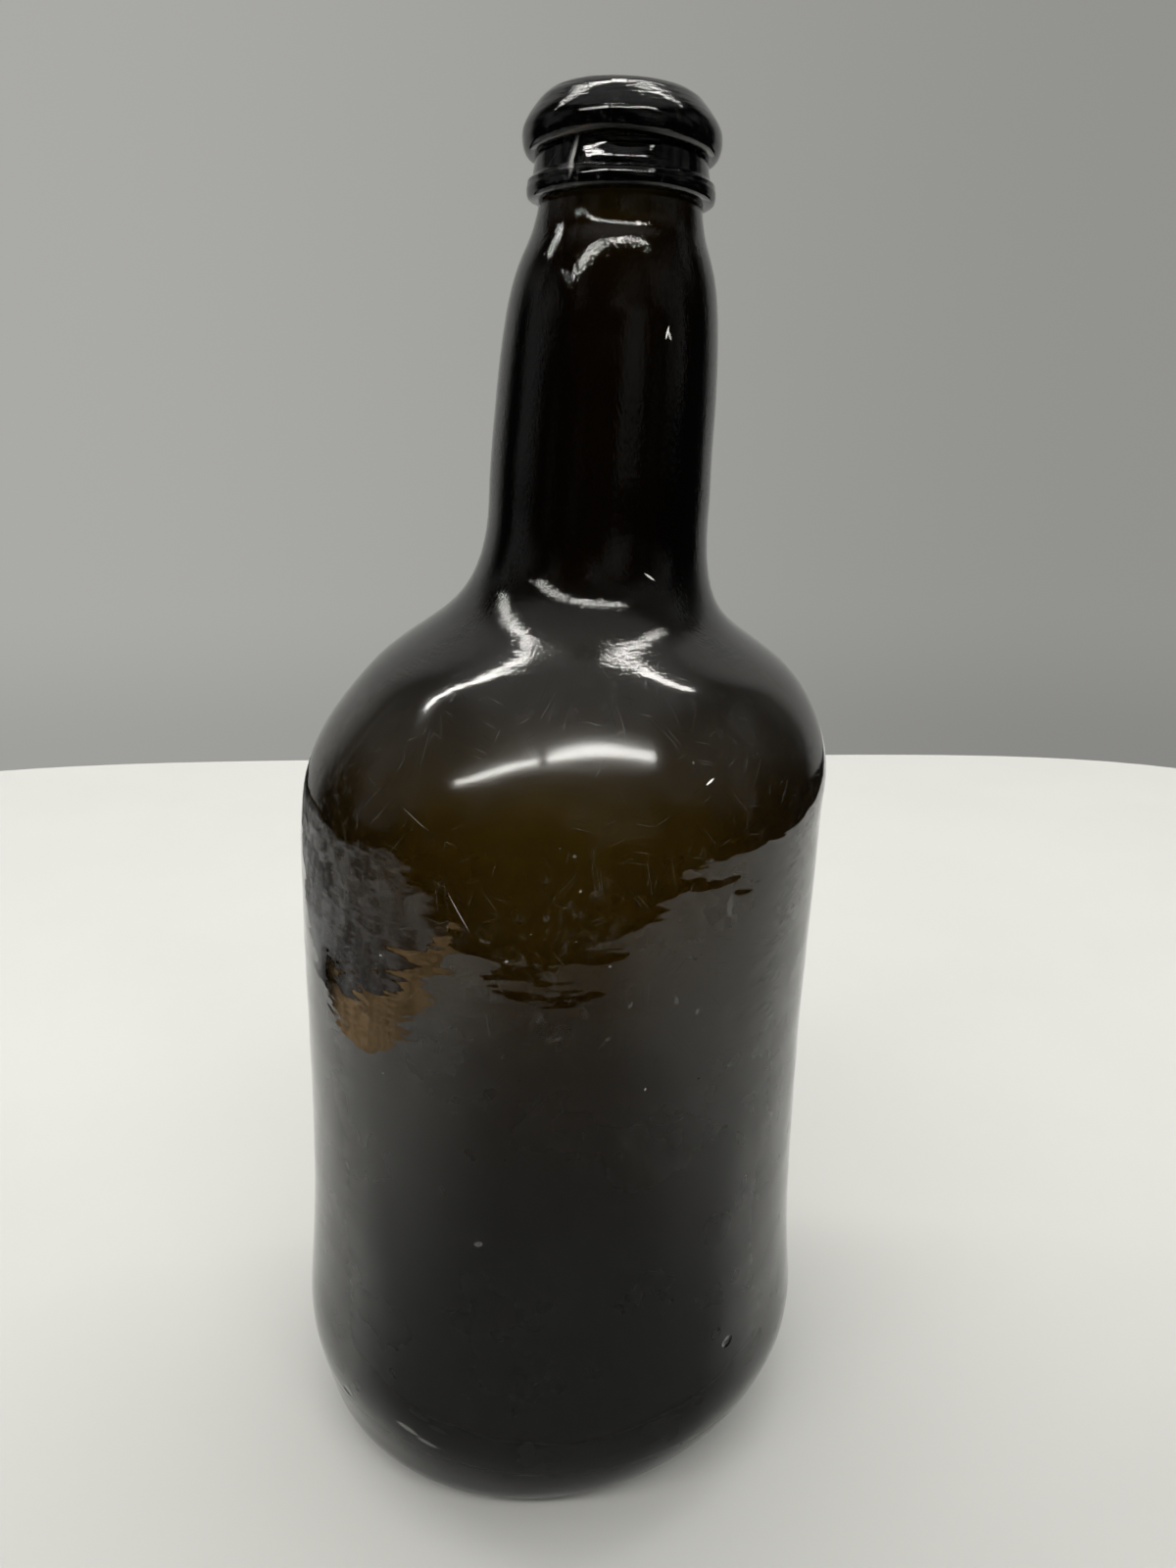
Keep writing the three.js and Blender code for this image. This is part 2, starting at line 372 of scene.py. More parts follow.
def place_lip(r, z, th):
    x, y = r * np.sin(th), -r * np.cos(th)
    h = np.zeros(r.shape)
    if r.shape[0] > 1:
        out = smooth((r - 13.0) / 1.0) * (z > 243) + smooth((z - 250) / 1.5) * (r <= 13.0)
        out = np.clip(out, 0, 1)
        h = 0.13 * octave(x, y, z, (11, 11, 7), 31) + 0.045 * octave(x, y, z, (4.2, 4.2, 1.9), 32)
        h += 0.016 * octave(x, y, z, (5.0, 5.0, 0.42), 33)  # lines left by the tool, round the lip
        h *= out
    lift = (1.05 * front(th) + 0.42 * np.exp(-((wrap(th - math.radians(-9)) / 0.42) ** 2))) * smooth((247.8 - z) / 3.8) * smooth((r - 13.0) / 1.0)
    # the flat below the crest is broad on the right and tightly rounded on the left
    tight = 0.12 * np.exp(-((((z - 251.35) - (r - 14.05)) / 1.9) ** 2)) * smooth((0.22 - wrap(th)) / 0.35) * front(th) * (r > 12.2)
    rr = r + h + 0.7 * tight
    x, y = rr * np.sin(th), -rr * np.cos(th)
    return x + drift(z), y, z + lift + 0.25 * h + 0.7 * tight - tip(z) * x


lip_curve = spline(LIP + [LIP[0]], 0.1)[:-1]
lip_prof = spread(np.concatenate([lip_curve, lip_curve[:1]]), lambda z: np.full_like(z, 0.24))[:-1]
lip = ring_mesh("lip_band", lip_prof, place_lip, closed=True, segs=320)

# ---- the ring of broken glass that the iron left in the push-up ----------------------------------------------------
PONTIL = [(11.9, 27.75), (12.6, 25.9), (13.4, 25.1), (15.0, 23.9), (16.6, 22.9), (17.6, 22.7), (17.9, 23.4), (16.2, 24.9), (14.1, 26.6), (12.8, 27.5)]


def place_scar(r, z, th):
    x, y = r * np.sin(th), -r * np.cos(th)
    h = 0.35 * octave(x, y, z, (3.4, 3.4, 2.2), 41) + 0.16 * octave(x, y, z, (1.2, 1.2, 1.0), 42)
    low = smooth((26.5 - z) / 2.5)
    rr = r + 0.4 * h * low
    return rr * np.sin(th) + drift(z), -rr * np.cos(th), z - (0.5 + h) * low * 0.9


scar_curve = spline(PONTIL + [PONTIL[0]], 0.1)[:-1]
scar_prof = spread(np.concatenate([scar_curve, scar_curve[:1]]), lambda z: np.full_like(z, 0.7))[:-1]
scar = ring_mesh("pontil_ring", scar_prof, place_scar, closed=True, segs=160)


# ================================================================================================================
# Materials
# ================================================================================================================
class Tree:
    """A small helper that adds nodes and links them."""

    def __init__(self, name):
        self.mat = bpy.data.materials.new(name)
        self.mat.use_nodes = True
        self.nt = self.mat.node_tree
        self.nt.nodes.clear()
        self.out = self.nt.nodes.new("ShaderNodeOutputMaterial")

    def new(self, kind, **values):
        n = self.nt.nodes.new(kind)
        for key, value in values.items():
            setattr(n, key, value)
        return n

    def link(self, a, b):
        self.nt.links.new(a, b)

    def math(self, op, a, b=None, c=None, clamp=False):
        n = self.new("ShaderNodeMath", operation=op)
        n.use_clamp = clamp
        for i, v in enumerate((a, b, c)):
            if v is None:
                continue
            if isinstance(v, (int, float)):
                n.inputs[i].default_value = v
            else:
                self.link(v, n.inputs[i])
        return n.outputs[0]

    def ramp(self, value, low, high, to_low=0.0, to_high=1.0, mode="SMOOTHSTEP"):
        n = self.new("ShaderNodeMapRange", interpolation_type=mode)
        self.link(value, n.inputs["Value"])
        n.inputs["From Min"].default_value = low
        n.inputs["From Max"].default_value = high
        n.inputs["To Min"].default_value = to_low
        n.inputs["To Max"].default_value = to_high
        return n.outputs["Result"]

    def coords(self, scale=(1, 1, 1), turn=(0, 0, 0)):
        if not hasattr(self, "_tc"):
            self._tc = self.new("ShaderNodeTexCoord")
        m = self.new("ShaderNodeMapping")
        m.inputs["Scale"].default_value = scale
        m.inputs["Rotation"].default_value = turn
        self.link(self._tc.outputs["Object"], m.inputs["Vector"])
        return m.outputs["Vector"]

    def noise(self, per_m, detail=2.0, rough=0.5, stretch=(1, 1, 1), turn=(0, 0, 0), distortion=0.0):
        n = self.new("ShaderNodeTexNoise")
        n.inputs["Scale"].default_value = per_m
        n.inputs["Detail"].default_value = detail
        n.inputs["Roughness"].default_value = rough
        n.inputs["Distortion"].default_value = distortion
        self.link(self.coords(stretch, turn), n.inputs["Vector"])
        return n.outputs["Fac"]

    def flat(self):
        """Coordinates on the unrolled skin: m round (for a radius of 50 mm) and m up."""
        if not hasattr(self, "_flat"):
            xyz = self.new("ShaderNodeSeparateXYZ")
            self.link(self.coords(), xyz.inputs[0])
            round_ = self.math("ARCTAN2", xyz.outputs["X"], self.math("MULTIPLY", xyz.outputs["Y"], -1.0))
            flat = self.new("ShaderNodeCombineXYZ")
            self.link(self.math("MULTIPLY", round_, 0.05), flat.inputs["X"])
            self.link(xyz.outputs["Z"], flat.inputs["Y"])
            self._flat = flat.outputs[0]
        return self._flat

    def spot(self, around, up, half_l, half_w, turn, soft=0.3):
        """An oval mark on the skin: around in degrees, the rest in mm, turned by so many degrees."""
        m = self.new("ShaderNodeMapping", vector_type="TEXTURE")
        m.inputs["Location"].default_value = (math.radians(around) * 0.05, up / 1000, 0)
        m.inputs["Rotation"].default_value = (0, 0, math.radians(turn))
        m.inputs["Scale"].default_value = (half_l / 1000, half_w / 1000, 1)
        self.link(self.flat(), m.inputs["Vector"])
        n = self.new("ShaderNodeVectorMath", operation="LENGTH")
        self.link(m.outputs["Vector"], n.inputs[0])
        return self.ramp(n.outputs["Value"], 1 + soft, 1 - soft)

    def unrolled(self, turn, along, across, warp=0.0):
        """Coordinates on the unrolled skin, turned by an angle and then scaled to cells."""
        v = self.flat()
        if warp:
            n = self.new("ShaderNodeTexNoise")
            n.inputs["Scale"].default_value = 60
            n.inputs["Detail"].default_value = 1.0
            self.link(v, n.inputs["Vector"])
            add = self.new("ShaderNodeVectorMath", operation="MULTIPLY_ADD")
            self.link(n.outputs["Color"], add.inputs[0])
            add.inputs[1].default_value = (warp, warp, 0)
            self.link(v, add.inputs[2])
            v = add.outputs[0]
        m = self.new("ShaderNodeMapping")
        m.inputs["Rotation"].default_value = (0, 0, turn)
        self.link(v, m.inputs["Vector"])
        m2 = self.new("ShaderNodeMapping")
        m2.inputs["Scale"].default_value = (1 / along, 1 / across, 1)
        self.link(m.outputs["Vector"], m2.inputs["Vector"])
        return m2.outputs["Vector"]

    def scratches(self, turn, along, across, share, warp=0.0, size=0.2):
        """Thin straight strokes lying along one direction: the cells of a stretched pattern, of which only a share is marked."""
        v = self.new("ShaderNodeTexVoronoi", feature="F1", distance="EUCLIDEAN", voronoi_dimensions="2D")
        v.inputs["Scale"].default_value = 1.0
        v.inputs["Randomness"].default_value = 1.0
        self.link(self.unrolled(turn, along, across, warp), v.inputs["Vector"])
        sep = self.new("ShaderNodeSeparateColor")
        self.link(v.outputs["Color"], sep.inputs[0])
        gate = self.ramp(sep.outputs[0], 1 - share, 1 - share * 0.3)
        return self.math("MULTIPLY", self.ramp(v.outputs["Distance"], size, size * 0.4), gate)

    def height(self):
        if not hasattr(self, "_xyz"):
            self._xyz = self.new("ShaderNodeSeparateXYZ")
            self.link(self.coords(), self._xyz.inputs[0])
        return self._xyz.outputs["Z"]

    def bump(self, height, distance, normal=None, strength=1.0):
        n = self.new("ShaderNodeBump")
        n.inputs["Strength"].default_value = strength
        n.inputs["Distance"].default_value = distance
        self.link(height, n.inputs["Height"])
        if normal is not None:
            self.link(normal, n.inputs["Normal"])
        return n.outputs["Normal"]


def glass(name, density, colour, body):
    t = Tree(name)
    p = t.new("ShaderNodeBsdfPrincipled")
    p.inputs["IOR"].default_value = 1.52
    p.inputs["Metallic"].default_value = 0.0
    z = t.height()

    # fine whittle marks; on the neck they are drawn out along it, and on the finish they run round it
    if body:
        neck = t.ramp(z, 0.158, 0.176)
        marks = t.noise(140, 2.4, 0.40, (0.60, 0.60, 1.40))
        marks = t.math("MULTIPLY", marks, t.math("MULTIPLY", t.ramp(z, 0.138, 0.154, 1.0, 0.12), t.ramp(z, 0.085, 0.112, 0.12, 1.0)))
        n1 = t.bump(marks, 0.00025)
        lines = t.noise(900, 2.0, 0.5, (1, 1, 0.035))
        lines = t.math("MULTIPLY", lines, neck)
        n2 = t.bump(lines, 0.000020, n1)
        hair = t.math("MULTIPLY", t.noise(1900, 2.0, 0.5, (1, 1, 0.45)), neck)
        n2 = t.bump(hair, 0.000048, n2)
        root = t.math("MULTIPLY", t.ramp(z, 0.156, 0.164), t.ramp(z, 0.180, 0.172))
        hatch = t.math("MULTIPLY", t.noise(420, 3.0, 0.6, (0.35, 0.35, 3.0)), root)
        normal = t.bump(hatch, 0.000035, n2)
        # an open blister low on the right and a dent low on the left
        pits = t.math("MAXIMUM", t.spot(39.7, 35.8, 1.0, 0.8, 20, 0.5), t.spot(-51.1, 20.3, 1.1, 0.7, 10, 0.6))
        normal = t.bump(t.math("SUBTRACT", 1.0, pits), 0.00035, normal)
    else:
        marks = t.noise(420, 2.5, 0.5, (0.6, 0.6, 1.3))
        n1 = t.bump(marks, 0.00002)
        lines = t.noise(430, 3.0, 0.6, (0.35, 0.35, 3.8))
        upper = t.ramp(z, 0.2462, 0.2500, 0.25, 1.0) if name == "lip_glass" else t.ramp(z, 0.2300, 0.2345, 0.0, 0.15)
        normal = t.bump(t.math("MULTIPLY", lines, upper), 0.00008, n1)

    marks_and_painted_glints = None
    # haze and hair scratches: a thin pale film, and a rougher gloss where it lies
    cloud = t.noise(38, 4.0, 0.62, (1, 1, 0.7))
    fine = t.noise(520, 4.0, 0.75, (1, 1, 0.7), (0.5, 0.3, 0))
    film = t.math("MULTIPLY", t.ramp(cloud, 0.40, 0.70), t.ramp(fine, 0.50, 0.72))
    hairs = None
    strokes = [
        (0.95, 0.014, 0.00024, 0.030, 0.0006), (2.3, 0.017, 0.00022, 0.025, 0.0005), (1.45, 0.022, 0.00022, 0.025, 0.0008),
        (0.25, 0.010, 0.00024, 0.020, 0.0004), (2.75, 0.008, 0.00024, 0.030, 0.0004), (1.9, 0.006, 0.00026, 0.040, 0.0005),
    ]
    for turn, along, across, share, warp in strokes:
        k = t.scratches(turn, along, across, share, warp)
        hairs = k if hairs is None else t.math("MAXIMUM", hairs, k)
    specks = t.new("ShaderNodeTexVoronoi", feature="F1", distance="EUCLIDEAN")
    specks.inputs["Scale"].default_value = 210
    specks.inputs["Randomness"].default_value = 1.0
    t.link(t.coords(), specks.inputs["Vector"])
    dot = t.ramp(specks.outputs["Distance"], 0.075, 0.03)
    sep = t.new("ShaderNodeSeparateColor")
    t.link(specks.outputs["Color"], sep.inputs[0])
    dot = t.math("MULTIPLY", dot, t.ramp(sep.outputs[0], 0.80, 0.84))
    tiny = t.new("ShaderNodeTexVoronoi", feature="F1", distance="EUCLIDEAN")
    tiny.inputs["Scale"].default_value = 430
    t.link(t.coords(), tiny.inputs["Vector"])
    sep2 = t.new("ShaderNodeSeparateColor")
    t.link(tiny.outputs["Color"], sep2.inputs[0])
    grains = t.math("MULTIPLY", t.ramp(tiny.outputs["Distance"], 0.080, 0.035), t.ramp(sep2.outputs[0], 0.55, 0.75, 0.0, 0.6))
    grains = t.math("MULTIPLY", grains, t.ramp(cloud, 0.36, 0.60, 0.25, 1.0))
    dot = t.math("MAXIMUM", dot, grains)
    if body:  # most of it lies on the upper body
        fade = t.ramp(z, 0.180, 0.160)
        where = t.math("MULTIPLY", t.ramp(z, 0.072, 0.122, 0.10, 1.0), fade)
        film, hairs, dot = (t.math("MULTIPLY", k, where) for k in (film, hairs, dot))
        film = t.math("MULTIPLY", film, t.ramp(z, 0.134, 0.148, 1.0, 0.35))
    dust_and_painted_glints = t.math("MULTIPLY", film, 0.065)
    dust_and_painted_glints = t.math("MULTIPLY_ADD", hairs, 0.085 if body else 0.03, dust_and_painted_glints)
    dust_and_painted_glints = t.math("MULTIPLY_ADD", dot, 0.24, dust_and_painted_glints)
    if name == "rim_glass":  # a painted highlight: the pale line where the end of the trail lies over its start
        marks_and_painted_glints = t.math("MULTIPLY", t.spot(21.6, 241.6, 2.9, 0.5, 43, 0.7), 0.30)
    if body:  # seeds and chips in the skin as pale marks, and painted glints of chips (the four palest, on the shoulder and the neck): around (degrees, 0 is the near side), height, half length and half width (mm), turn (degrees), paleness
        for around, up_, half_l, half_w, turn, pale in (
            (34.9, 126.7, 1.9, 0.55, 84, 0.045), (24.0, 111.9, 0.8, 0.4, 80, 0.04), (28.7, 109.0, 0.7, 0.4, 75, 0.04),
            (1.3, 107.6, 0.6, 0.3, 30, 0.03), (10.5, 106.9, 0.5, 0.35, 0, 0.03), (14.8, 112.6, 0.6, 0.3, 60, 0.04),
            (-31.7, 23.0, 2.3, 0.55, -11, 0.10), (-27.1, 21.5, 2.0, 0.5, -9, 0.10), (-15.0, 66.9, 0.8, 0.5, 20, 0.06),
            # painted glints of chips: one on the shoulder, three on the neck
            (31.9, 147.8, 0.85, 0.15, 24, 0.95), (50.3, 215.7, 1.0, 0.28, 62, 0.8), (51.2, 215.3, 0.8, 0.30, 128, 0.5), (43.2, 177.1, 1.6, 0.20, -20, 0.6),
            (-26.9, 142.3, 2.7, 0.06, -26, 0.13), (-17.0, 128.6, 3.1, 0.08, -59, 0.28),
            (-8.0, 121.0, 0.28, 0.20, 30, 0.22), (5.5, 133.0, 0.24, 0.18, 60, 0.2), (-35.0, 118.0, 0.3, 0.2, 10, 0.2), (18.0, 96.5, 0.28, 0.2, 80, 0.2),
        ):
            mark = t.spot(around, up_, half_l, half_w, turn)
            marks_and_painted_glints = t.math("MULTIPLY", mark, pale) if marks_and_painted_glints is None else t.math("MULTIPLY_ADD", mark, pale, marks_and_painted_glints)
    if body:  # what settles on the shoulder
        dust_and_painted_glints = t.math("MULTIPLY_ADD", t.math("MULTIPLY", t.ramp(z, 0.141, 0.154), fade), 0.009, dust_and_painted_glints)
    # the pale marks, painted glints and a painted highlight line among them, are added to the dust
    if marks_and_painted_glints is not None:
        dust_and_painted_glints = t.math("ADD", dust_and_painted_glints, marks_and_painted_glints)
    t.link(t.math("SUBTRACT", 1.0, dust_and_painted_glints, clamp=True), p.inputs["Transmission Weight"])
    tint = t.new("ShaderNodeMix", data_type="RGBA")
    tint.inputs["A"].default_value = (0.93, 0.92, 0.88, 1)
    tint.inputs["B"].default_value = (0.50, 0.50, 0.49, 1)
    t.link(t.math("MAXIMUM", hairs, dot), tint.inputs["Factor"])
    t.link(tint.outputs["Result"], p.inputs["Base Color"])
    rough = t.math("MULTIPLY_ADD", film, 0.05, 0.022)
    rough = t.math("MULTIPLY_ADD", hairs, 0.12, rough)
    if body:  # the shoulder is dulled by wear
        worn = t.math("MULTIPLY", t.ramp(z, 0.134, 0.145), t.math("MULTIPLY", t.ramp(z, 0.164, 0.152, 0.55, 1.0), t.ramp(z, 0.180, 0.168)))
        rough = t.math("MULTIPLY_ADD", worn, 0.082, rough)
    if body:  # the deposit inside blurs what is seen through
        skin = t.new("ShaderNodeAttribute", attribute_name="inner_skin", attribute_type="GEOMETRY")
        dull = t.ramp(t.noise(60, 3.0, 0.6), 0.35, 0.65, 0.22, 0.42)
        rough = t.math("MULTIPLY_ADD", skin.outputs["Fac"], dull, rough, clamp=True)
    t.link(rough, p.inputs["Roughness"])
    t.link(normal, p.inputs["Normal"])
    v = t.new("ShaderNodeVolumeAbsorption")
    v.inputs["Density"].default_value = density
    v.inputs["Color"].default_value = (*colour, 1)
    t.link(p.outputs[0], t.out.inputs["Surface"])
    t.link(v.outputs[0], t.out.inputs["Volume"])
    return t.mat


body_glass = glass("body_glass", 840, (0.52, 0.44, 0.06), True)
lip_glass = glass("lip_glass", 4000, (0.48, 0.42, 0.06), False)
rim_glass = glass("rim_glass", 6500, (0.48, 0.42, 0.06), False)


def scar_material():
    t = Tree("scar_glass")
    p = t.new("ShaderNodeBsdfPrincipled")
    p.inputs["IOR"].default_value = 1.52
    c = t.new("ShaderNodeMix", data_type="RGBA")
    c.inputs["A"].default_value = (0.012, 0.011, 0.005, 1)
    c.inputs["B"].default_value = (0.06, 0.055, 0.035, 1)
    t.link(t.ramp(t.noise(900, 4.0, 0.6), 0.4, 0.7), c.inputs["Factor"])
    t.link(c.outputs["Result"], p.inputs["Base Color"])
    t.link(t.ramp(t.noise(700, 3.0, 0.6), 0.3, 0.7, 0.12, 0.45), p.inputs["Roughness"])
    t.link(t.bump(t.noise(1100, 4.0, 0.6), 0.0004), p.inputs["Normal"])
    t.link(p.outputs[0], t.out.inputs["Surface"])
    return t.mat


for ob, mat, node, slot in (
    (bottle, body_glass, "bottle_body", "black_glass"),
    (rim, rim_glass, "string_rim", "trail_glass"),
    (lip, lip_glass, "lip_collar", "trail_glass"),
    (scar, scar_material(), "pontil_scar", "scar_glass"),
):
    ob.data.materials.append(mat)
    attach(ob, "root")
    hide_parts(node)


# ================================================================================================================
# Stage: a pale floor that sweeps up into a pale round wall, two soft strip lights overhead, and a pale sheet behind
# ================================================================================================================
def sees(ob, camera=False, diffuse=False, glossy=False, transmission=False, shadow=False, volume=False):
    ob.visible_camera = camera
    ob.visible_diffuse = diffuse
    ob.visible_glossy = glossy
    ob.visible_transmission = transmission
    ob.visible_shadow = shadow
    ob.visible_volume_scatter = volume


def mesh_object(name, verts, faces, mat, flat=False):
    me = bpy.data.meshes.new(name)
    me.from_pydata(verts, [], faces)
    me.validate()
    if not flat:
        me.shade_smooth()
    ob = bpy.data.objects.new(name, me)
    scene.collection.objects.link(ob)
    me.materials.append(mat)
    return ob


def revolve(name, prof, mat, centre=(0, 0), segs=192, shape=lambda a: 1.0):
    verts = [(centre[0], centre[1], prof[0][1])]
    faces = []
    rows = prof[1:]
    for r, z in rows:
        for j in range(segs):
            a = 2 * math.pi * j / segs
            verts.append((centre[0] + r * shape(a) * math.sin(a), centre[1] - r * shape(a) * math.cos(a), z))
    faces += [(0, 1 + j, 1 + (j + 1) % segs) for j in range(segs)]
    for i in range(len(rows) - 1):
        a, b = 1 + i * segs, 1 + (i + 1) * segs
        faces += [(a + j, b + j, b + (j + 1) % segs, a + (j + 1) % segs) for j in range(segs)]
    return mesh_object(name, verts, faces, mat)


def emitter(name, colour, strength, sampled=True):
    t = Tree(name)
    e = t.new("ShaderNodeEmission")
    e.inputs["Color"].default_value = (*colour, 1)
    e.inputs["Strength"].default_value = strength
    t.link(e.outputs[0], t.out.inputs["Surface"])
    t.mat.cycles.emission_sampling = "FRONT_BACK" if sampled else "NONE"
    return t, e


def floor_material(name, painted_front_shadow):
    t = Tree(name)
    d = t.new("ShaderNodeBsdfDiffuse")
    xyz = t.new("ShaderNodeSeparateXYZ")
    t.link(t.coords(), xyz.inputs[0])
    grain = t.ramp(t.noise(14, 3.0, 0.5), 0.35, 0.65, 0.985, 1.0)
    # painted shade: the floor darker towards the front
    shade = t.ramp(xyz.outputs["Y"], -0.20, 0.16, 0.80, 1.0)
    f = t.math("MULTIPLY", grain, shade)
    if painted_front_shadow:  # painted shadow: the near part of the table, in front of the bottle, is darkened, and the table is a touch lighter to the left
        near = t.ramp(xyz.outputs["Y"], -0.02, -0.06, 0.0, 1.0)
        side = t.ramp(t.math("ABSOLUTE", xyz.outputs["X"]), 0.20, 0.05)
        f = t.math("MULTIPLY", f, t.math("SUBTRACT", 1.0, t.math("MULTIPLY", t.math("MULTIPLY", near, side), 0.64)))
        f = t.math("MULTIPLY", f, t.ramp(xyz.outputs["X"], -0.10, 0.25, 1.05, 0.98))
    c = t.new("ShaderNodeVectorMath", operation="SCALE")
    c.inputs[0].default_value = (0.555, 0.555, 0.535)
    t.link(f, c.inputs["Scale"])
    t.link(c.outputs[0], d.inputs["Color"])
    t.link(d.outputs[0], t.out.inputs["Surface"])
    return t.mat


def plan(angle):
    """How far the wall stands from the axis in that direction, as a share of its half width: a square with round corners."""
    c, s = abs(math.cos(angle)), abs(math.sin(angle))
    return (c**5 + s**5) ** -0.2


R_FLOOR, R_SWEEP = 0.481, 0.012
prof = [(0, 0)] + [(R_FLOOR * i / 12, 0.0) for i in range(1, 13)]
floor = revolve("floor", [(r, -0.00015) for r, z in prof], floor_material("floor_cloth", False), shape=plan)
sees(floor, camera=True, diffuse=True, transmission=True, shadow=True)

wall_prof = [(R_FLOOR + R_SWEEP * math.sin(a), -0.00015 + R_SWEEP * (1 - math.cos(a))) for a in [math.pi / 2 * i / 8 for i in range(9)]]
wall_prof = wall_prof + [(R_FLOOR + R_SWEEP, 1.3)]


def wall_material():
    t = Tree("wall_cloth_painted_glow")
    # the wall glows by itself; painted shade makes it dimmer to the right and near the floor
    e = t.new("ShaderNodeEmission")
    xyz = t.new("ShaderNodeSeparateXYZ")
    t.link(t.coords(), xyz.inputs[0])
    side = t.ramp(xyz.outputs["X"], -0.35, 0.40, 0.405, 0.285)
    low = t.ramp(xyz.outputs["Z"], 0.0, 0.10, 0.86, 1.0)
    t.link(t.math("MULTIPLY", side, low), e.inputs["Strength"])
    e.inputs["Color"].default_value = (1.0, 0.995, 0.95, 1)
    t.link(e.outputs[0], t.out.inputs["Surface"])
    t.mat.cycles.emission_sampling = "NONE"
    return t.mat


def open_revolve(name, prof, mat, segs=192, shape=lambda a: 1.0):
    verts, faces = [], []
    for r, z in prof:
        for j in range(segs):
            a = 2 * math.pi * j / segs
            verts.append((r * shape(a) * math.sin(a), -r * shape(a) * math.cos(a), z))
    for i in range(len(prof) - 1):
        a, b = i * segs, (i + 1) * segs
        faces += [(a + j, b + j, b + (j + 1) % segs, a + (j + 1) % segs) for j in range(segs)]
    return mesh_object(name, verts, faces, mat)


wall_ob = open_revolve("round_wall", wall_prof, wall_material(), shape=plan)
sees(wall_ob, camera=True, transmission=True)

# the part of the floor that the glass mirrors: a round table
TABLE_X, TABLE_Y = (-0.212, 0.372), (-0.282, 0.60)


def table_plan(angle):
    """Half size of the table in that direction: a rectangle with small round corners, 1 unit = 0.3 m."""
    c, s = abs(math.cos(angle)) / ((TABLE_Y[1] - TABLE_Y[0]) / 0.6), abs(math.sin(angle)) / ((TABLE_X[1] - TABLE_X[0]) / 0.6)
    return (c**14 + s**14) ** (-1 / 14)


TABLE_MID = ((TABLE_X[0] + TABLE_X[1]) / 2, (TABLE_Y[0] + TABLE_Y[1]) / 2)
mirror_floor = revolve("table_seen_in_glass", [(0, -0.0001)] + [(0.30 * i / 10, -0.0001) for i in range(1, 11)], floor_material("table_cloth", True), TABLE_MID, 256, table_plan)
sees(mirror_floor, glossy=True)

# what the glass mirrors behind the bottle: the pale sheet
def glow(name, colour, strength, x_fade, y_fade, mottle=None):
    """A light surface whose glow fades out towards its ends; fades are given as (dark, full) pairs along x and y or z."""
    t, e = emitter(name, colour, strength, sampled=False)
    xyz = t.new("ShaderNodeSeparateXYZ")
    t.link(t.coords(), xyz.inputs[0])
    f = None
    for axis, pairs in (("X", x_fade), *y_fade):
        for dark, full in pairs:
            g = t.ramp(xyz.outputs[axis], dark, full)
            f = g if f is None else t.math("MULTIPLY", f, g)
    if mottle:
        per_m, low, high = mottle
        f = t.math("MULTIPLY", f, t.ramp(t.noise(per_m, 3.0, 0.6), 0.35, 0.65, low, high))
    t.link(t.math("MULTIPLY", f, strength), e.inputs["Strength"])
    return t, e


sheet_mat, sheet_e = glow("back_sheet", (1.0, 0.995, 0.95), 0.40, [(-1.10, -0.55), (1.15, 0.70)], [])
sheet = mesh_object("back_sheet", [(-1.02, 0.6, 0.0), (1.07, 0.6, 0.0), (1.07, 0.6, 1.4), (-1.02, 0.6, 1.4)], [(0, 1, 2, 3)], sheet_mat.mat, True)
sees(sheet, glossy=True)


# beside the table the glass mirrors a warm brown edge, and a duller grey floor
edge_mat, _ = glow("brown_edge", (1.0, 0.68, 0.36), 1.30, [(-0.262, -0.255)], [("Y", [(-0.275, -0.262), (0.10, 0.0)])], (30, 0.5, 1.0))
edge_card = mesh_object("brown_edge", [(-0.262, -0.28, -0.0003), (-0.212, -0.28, -0.0003), (-0.212, 0.10, -0.0003), (-0.262, 0.10, -0.0003)], [(0, 1, 2, 3)], edge_mat.mat, True)
sees(edge_card, glossy=True)
grey_mat, _ = glow("grey_floor", (1.0, 1.0, 0.97), 0.62, [(-0.80, -0.60)], [("Y", [(-0.29, -0.24), (0.58, 0.30)])], (11, 0.22, 1.0))
grey_card = mesh_object("grey_floor", [(-0.85, -0.30, -0.0005), (-0.20, -0.30, -0.0005), (-0.20, 0.59, -0.0005), (-0.85, 0.59, -0.0005)], [(0, 1, 2, 3)], grey_mat.mat, True)
sees(grey_card, glossy=True)


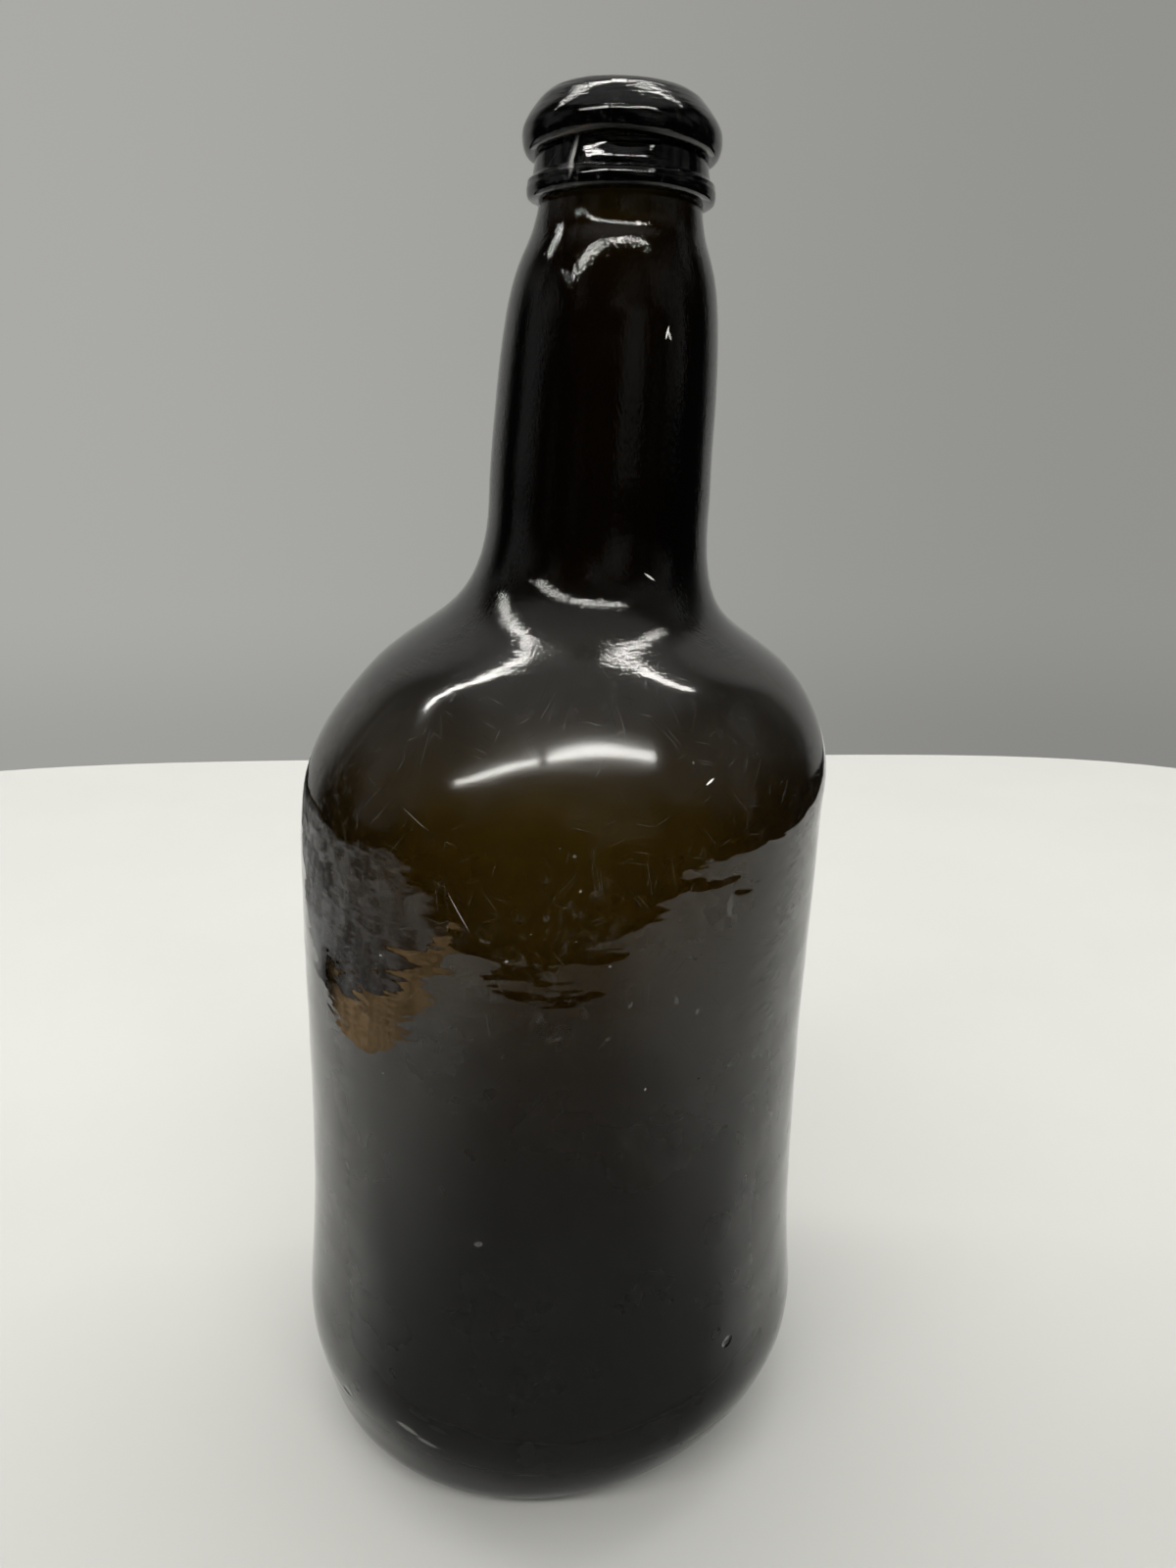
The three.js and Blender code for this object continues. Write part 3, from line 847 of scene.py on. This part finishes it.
# the room that the glass mirrors: dark, with a grey ceiling
def room_material():
    t = Tree("room")
    e = t.new("ShaderNodeEmission")
    tc = t.new("ShaderNodeTexCoord")
    nrm = t.new("ShaderNodeVectorMath", operation="NORMALIZE")
    t.link(tc.outputs["Object"], nrm.inputs[0])
    xyz = t.new("ShaderNodeSeparateXYZ")
    t.link(nrm.outputs[0], xyz.inputs[0])
    # pale patches stand round it, and draw faint streaks on the neck
    m = t.new("ShaderNodeMapping")
    m.inputs["Scale"].default_value = (1.0, 1.0, 0.35)
    t.link(nrm.outputs[0], m.inputs["Vector"])
    n = t.new("ShaderNodeTexNoise")
    n.inputs["Scale"].default_value = 2.6
    n.inputs["Detail"].default_value = 2.0
    t.link(m.outputs["Vector"], n.inputs["Vector"])
    patch = t.math("MULTIPLY", t.ramp(n.outputs["Fac"], 0.46, 0.66, 0.0, 0.15), t.math("MULTIPLY", t.ramp(xyz.outputs["Z"], -0.02, 0.10), t.ramp(xyz.outputs["Z"], 0.70, 0.45)))
    t.link(t.math("ADD", t.ramp(xyz.outputs["Z"], 0.70, 0.88, 0.012, 0.34), patch), e.inputs["Strength"])
    e.inputs["Color"].default_value = (1.0, 1.0, 0.98, 1)
    t.link(e.outputs[0], t.out.inputs["Surface"])
    t.mat.cycles.emission_sampling = "NONE"
    return t.mat


bm = bmesh.new()
bmesh.ops.create_icosphere(bm, subdivisions=4, radius=6.0)
me = bpy.data.meshes.new("room")
bm.to_mesh(me)
bm.free()
room = bpy.data.objects.new("room", me)
scene.collection.objects.link(room)
me.materials.append(room_material())
sees(room, glossy=True)


# two strip lights with soft edges
def strip(name, y0, y1, x0, x1, z, width, strength, mirrored):
    """A strip light from (x0, y0) to (x1, y1) at height z: either its image in the glass, or the light it gives."""
    t = Tree(name)
    e = t.new("ShaderNodeEmission")
    uv = t.new("ShaderNodeUVMap")
    xyz = t.new("ShaderNodeSeparateXYZ")
    t.link(uv.outputs[0], xyz.inputs[0])
    across = t.ramp(t.math("ABSOLUTE", t.math("SUBTRACT", xyz.outputs["Y"], 0.5)), 0.5, 0.14)
    ends = t.ramp(t.math("ABSOLUTE", t.math("SUBTRACT", xyz.outputs["X"], 0.5)), 0.5, 0.485)
    t.link(t.math("MULTIPLY", t.math("MULTIPLY", across, ends), strength), e.inputs["Strength"])
    e.inputs["Color"].default_value = (1.0, 0.985, 0.94, 1)
    t.link(e.outputs[0], t.out.inputs["Surface"])
    d = Vector((x1 - x0, y1 - y0, 0)).normalized()
    s = Vector((-d.y, d.x, 0)) * width / 2
    a, b = Vector((x0, y0, z)), Vector((x1, y1, z))
    ob = mesh_object(name, [a - s, b - s, b + s, a + s], [(0, 3, 2, 1)], t.mat, True)
    layer = ob.data.uv_layers.new(name="UVMap")
    at = {0: (0, 0), 1: (1, 0), 2: (1, 1), 3: (0, 1)}
    for poly in ob.data.polygons:
        for li in poly.loop_indices:
            layer.data[li].uv = at[ob.data.loops[li].vertex_index]
    t.mat.cycles.emission_sampling = "FRONT"
    if mirrored:
        sees(ob, glossy=True)
    else:
        sees(ob, diffuse=True, transmission=True)
    return ob


strip("strip_a1", -1.10, -1.10, -1.68, -0.405, 1.5, 0.12, 30.0, True)
strip("strip_a2", -1.10, -1.10, -0.322, 1.00, 1.5, 0.12, 30.0, True)
strip("strip_b1", 0.260, 0.260, -1.70, -0.31, 1.5, 0.072, 40.0, True)
strip("strip_b2", 0.360, 0.360, -0.33, 0.14, 1.5, 0.100, 48.0, True)
strip("strip_b3", 0.256, 0.256, 0.12, 1.03, 1.5, 0.062, 38.0, True)
strip("lamp_a", -1.10, -1.10, -1.68, 1.00, 1.5, 0.30, 17.0, False)
strip("lamp_b", 0.256, 0.256, -1.70, 1.03, 1.5, 0.17, 17.0, False)

world = bpy.data.worlds.new("world")
scene.world = world
world.use_nodes = True
bg = world.node_tree.nodes["Background"]
bg.inputs["Color"].default_value = (1.0, 1.0, 0.985, 1)
bg.inputs["Strength"].default_value = 0.80
world.cycles_visibility.camera = False
world.cycles_visibility.glossy = False
world.cycles_visibility.transmission = False
world.cycles_visibility.scatter = False

scene.view_settings.view_transform = "Standard"
scene.view_settings.look = "None"
scene.view_settings.exposure = 0.0
scene.view_settings.gamma = 1.0
scene.cycles.max_bounces = 16
scene.cycles.glossy_bounces = 8
scene.cycles.transmission_bounces = 12
scene.cycles.diffuse_bounces = 3
scene.cycles.caustics_reflective = False
scene.cycles.caustics_refractive = False
scene.cycles.use_denoising = True
